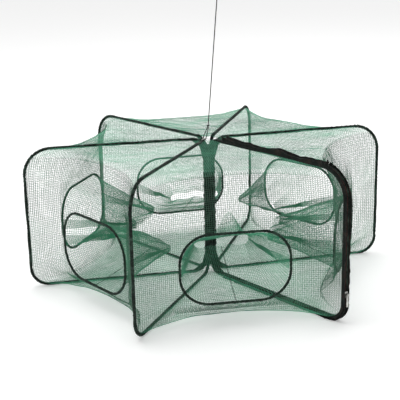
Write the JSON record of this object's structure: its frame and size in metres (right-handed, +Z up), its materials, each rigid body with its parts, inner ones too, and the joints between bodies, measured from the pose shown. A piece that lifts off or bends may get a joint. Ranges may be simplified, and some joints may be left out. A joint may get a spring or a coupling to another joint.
{
  "type": "folding crab trap",
  "caption": "Round folding net trap: sleeved wire loops hinged like book pages about a spine, zipped shut, with oval side entrances, net funnels and a hanging rope.",
  "frame": {"origin": "middle of the standing trap's underside, on the floor", "axes": "+Z up along the spine, +X along the right-hand loop's arms"},
  "size_m": [0.8042, 0.7204, 0.6317],
  "materials": {
    "spring_wire": "galvanised spring steel",
    "sleeve_cloth": "dark green woven binding, stitched",
    "netting": "knotless green polyethylene mesh",
    "zip_coil": "moulded coil on woven tape",
    "slider_metal": "die cast, satin",
    "white_plastic": "moulded white",
    "rope_fibre": "braided cord"
  },
  "bodies": {
    "loop_zip_right": {"frame_wire_zip_right": "spring_wire", "frame_sleeve_zip_right": "sleeve_cloth", "zip_half_right": "zip_coil"},
    "loop_right": {"frame_wire_right": "spring_wire", "frame_sleeve_right": "sleeve_cloth", "top_net_right_front": "netting", "bottom_net_right_front": "netting"},
    "loop_back_right": {"frame_wire_back_right": "spring_wire", "frame_sleeve_back_right": "sleeve_cloth", "top_net_right_back": "netting", "bottom_net_right_back": "netting"},
    "loop_back_left": {"frame_wire_back_left": "spring_wire", "frame_sleeve_back_left": "sleeve_cloth", "top_net_back": "netting", "bottom_net_back": "netting", "top_net_left_back": "netting", "bottom_net_left_back": "netting", "hanging_ring": "white_plastic", "rope_bridle": "rope_fibre", "rope_knot": "rope_fibre", "hanging_rope": "rope_fibre", "rope_end_loop": "rope_fibre"},
    "loop_left": {"frame_wire_left": "spring_wire", "frame_sleeve_left": "sleeve_cloth", "top_net_left_front": "netting", "bottom_net_left_front": "netting"},
    "loop_front_left": {"frame_wire_front_left": "spring_wire", "frame_sleeve_front_left": "sleeve_cloth", "top_net_front": "netting", "bottom_net_front": "netting"},
    "loop_zip_left": {"frame_wire_zip_left": "spring_wire", "frame_sleeve_zip_left": "sleeve_cloth", "zip_half_left": "zip_coil"},
    "entrance_right_front": {"ring_wire_right_front": "spring_wire", "ring_binding_right_front": "sleeve_cloth", "side_net_right_front": "netting", "funnel_net_right_front": "netting"},
    "entrance_right_back": {"ring_wire_right_back": "spring_wire", "ring_binding_right_back": "sleeve_cloth", "side_net_right_back": "netting", "funnel_net_right_back": "netting"},
    "entrance_back": {"ring_wire_back": "spring_wire", "ring_binding_back": "sleeve_cloth", "side_net_back": "netting", "funnel_net_back": "netting"},
    "entrance_left_back": {"ring_wire_left_back": "spring_wire", "ring_binding_left_back": "sleeve_cloth", "side_net_left_back": "netting", "funnel_net_left_back": "netting"},
    "entrance_left_front": {"ring_wire_left_front": "spring_wire", "ring_binding_left_front": "sleeve_cloth", "side_net_left_front": "netting", "funnel_net_left_front": "netting"},
    "entrance_front": {"ring_wire_front": "spring_wire", "ring_binding_front": "sleeve_cloth", "side_net_front": "netting", "funnel_net_front": "netting"},
    "zip_slider": {"zip_slider": "slider_metal"},
    "zip_pull": {"zip_pull": "slider_metal"}
  },
  "joints": [
    {"name": "fold_right_front", "type": "hinge", "parent": "loop_right", "child": "loop_zip_right", "pos_m": [0.00912, 0.00333, 0.003], "axis": [0, 0, 1], "range_deg": [0, 64], "deforming": ["top_net_right_front", "bottom_net_right_front"]},
    {"name": "swing_right_front", "type": "hinge", "parent": "loop_right", "child": "entrance_right_front", "pos_m": [0.34961, 0.00333, 0.003], "axis": [0, 0, -1], "range_deg": [0, 58], "deforming": ["side_net_right_front", "funnel_net_right_front"]},
    {"name": "fold_right_back", "type": "hinge", "parent": "loop_back_right", "child": "loop_right", "pos_m": [0.00912, 0.01083, 0.003], "axis": [0, 0, 1], "range_deg": [0, 60], "deforming": ["top_net_right_back", "bottom_net_right_back"]},
    {"name": "swing_right_back", "type": "hinge", "parent": "loop_back_right", "child": "entrance_right_back", "pos_m": [0.17995, 0.3067, 0.003], "axis": [0, 0, -1], "range_deg": [0, 60], "deforming": ["side_net_right_back", "funnel_net_right_back"]},
    {"name": "fold_back", "type": "hinge", "parent": "loop_back_left", "child": "loop_back_right", "pos_m": [0.00053, 0.01579, 0.003], "axis": [0, 0, 1], "range_deg": [0, 58], "deforming": ["top_net_back", "bottom_net_back"]},
    {"name": "swing_back", "type": "hinge", "parent": "loop_back_left", "child": "entrance_back", "pos_m": [-0.15948, 0.31674, 0.003], "axis": [0, 0, -1], "range_deg": [0, 61], "deforming": ["side_net_back", "funnel_net_back"]},
    {"name": "fold_left_back", "type": "hinge", "parent": "loop_back_left", "child": "loop_left", "pos_m": [-0.0097, 0.01035, 0.003], "axis": [0, 0, -1], "range_deg": [0, 58], "deforming": ["top_net_left_back", "bottom_net_left_back"]},
    {"name": "swing_left_back", "type": "hinge", "parent": "loop_back_left", "child": "entrance_left_back", "pos_m": [-0.16991, 0.31167, 0.003], "axis": [0, 0, 1], "range_deg": [0, 61], "deforming": ["side_net_left_back", "funnel_net_left_back"]},
    {"name": "fold_left_front", "type": "hinge", "parent": "loop_left", "child": "loop_front_left", "pos_m": [-0.01034, 0.0012, 0.003], "axis": [0, 0, -1], "range_deg": [0, 58], "deforming": ["top_net_left_front", "bottom_net_left_front"]},
    {"name": "swing_left_front", "type": "hinge", "parent": "loop_left", "child": "entrance_left_front", "pos_m": [-0.35169, 0.02507, 0.003], "axis": [0, 0, 1], "range_deg": [0, 61], "deforming": ["side_net_left_front", "funnel_net_left_front"]},
    {"name": "fold_front", "type": "hinge", "parent": "loop_front_left", "child": "loop_zip_left", "pos_m": [-0.00427, -0.0032, 0.003], "axis": [0, 0, -1], "range_deg": [0, 62], "deforming": ["top_net_front", "bottom_net_front"]},
    {"name": "swing_front", "type": "hinge", "parent": "loop_front_left", "child": "entrance_front", "pos_m": [-0.20475, -0.27914, 0.003], "axis": [0, 0, 1], "range_deg": [0, 59], "deforming": ["side_net_front", "funnel_net_front"]},
    {"name": "zip_slide", "type": "slide", "parent": "loop_zip_right", "child": "zip_slider", "axis": [0, 0, 1], "range_m": [0, 0.18]},
    {"name": "pull_hinge", "type": "hinge", "parent": "zip_slider", "child": "zip_pull", "pos_m": [0.17681, -0.35748, 0.061], "axis": [-0.8988, -0.4384, 0], "range_deg": [0, 150]}
  ],
  "couplings": [
    {"joint": "swing_right_front", "follows": "fold_right_front", "ratio": 0.90625},
    {"joint": "swing_right_back", "follows": "fold_right_back", "ratio": 1},
    {"joint": "swing_back", "follows": "fold_back", "ratio": 1.0517},
    {"joint": "swing_left_back", "follows": "fold_left_back", "ratio": 1.0517},
    {"joint": "swing_left_front", "follows": "fold_left_front", "ratio": 1.0517},
    {"joint": "swing_front", "follows": "fold_front", "ratio": 0.95161}
  ]
}
